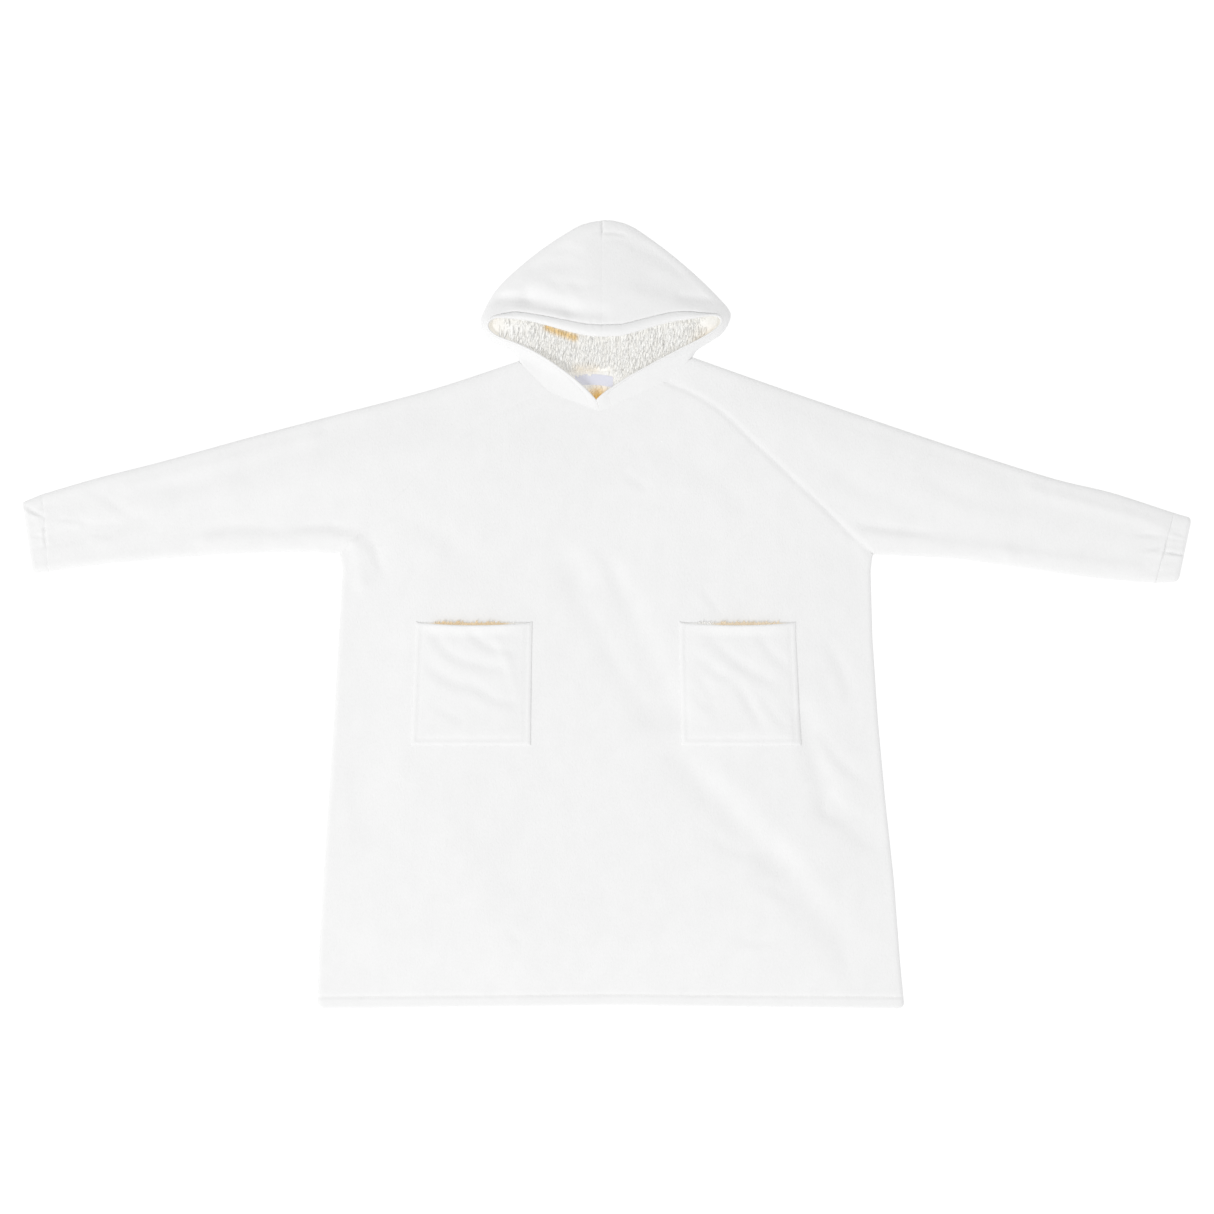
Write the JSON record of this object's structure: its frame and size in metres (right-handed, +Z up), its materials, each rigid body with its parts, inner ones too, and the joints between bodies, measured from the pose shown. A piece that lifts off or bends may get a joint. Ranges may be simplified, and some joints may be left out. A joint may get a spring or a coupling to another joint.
{
  "type": "wearable blanket hoodie",
  "caption": "Hooded wearable blanket laid flat, face up: wide body with raglan sleeves, short cuffs, patch pockets and an open pile-lined hood.",
  "frame": {"origin": "on the surface the garment lies on, under the middle of its bounding box", "axes": "+X to the viewer's right, from cuff to cuff; +Y from the hem to the hood; +Z up out of the garment's front"},
  "size_m": [1.754, 1.184, 0.0438],
  "materials": {
    "plush": "short-napped white plush, matt with a soft sheen",
    "pile": "curly cream pile, matt",
    "woven": "smooth woven tape, bare"
  },
  "bodies": {
    "root": {"back_panel": "plush", "front_panel": "plush", "sleeve_left": "plush", "sleeve_right": "plush", "cuff_left": "plush", "cuff_right": "plush", "hood_left": "plush", "hood_right": "plush", "hood_lining": "pile", "pocket_left": "plush", "pocket_right": "plush", "pocket_pile_left": "pile", "pocket_pile_right": "pile", "neck_label": "woven"}
  },
  "joints": []
}
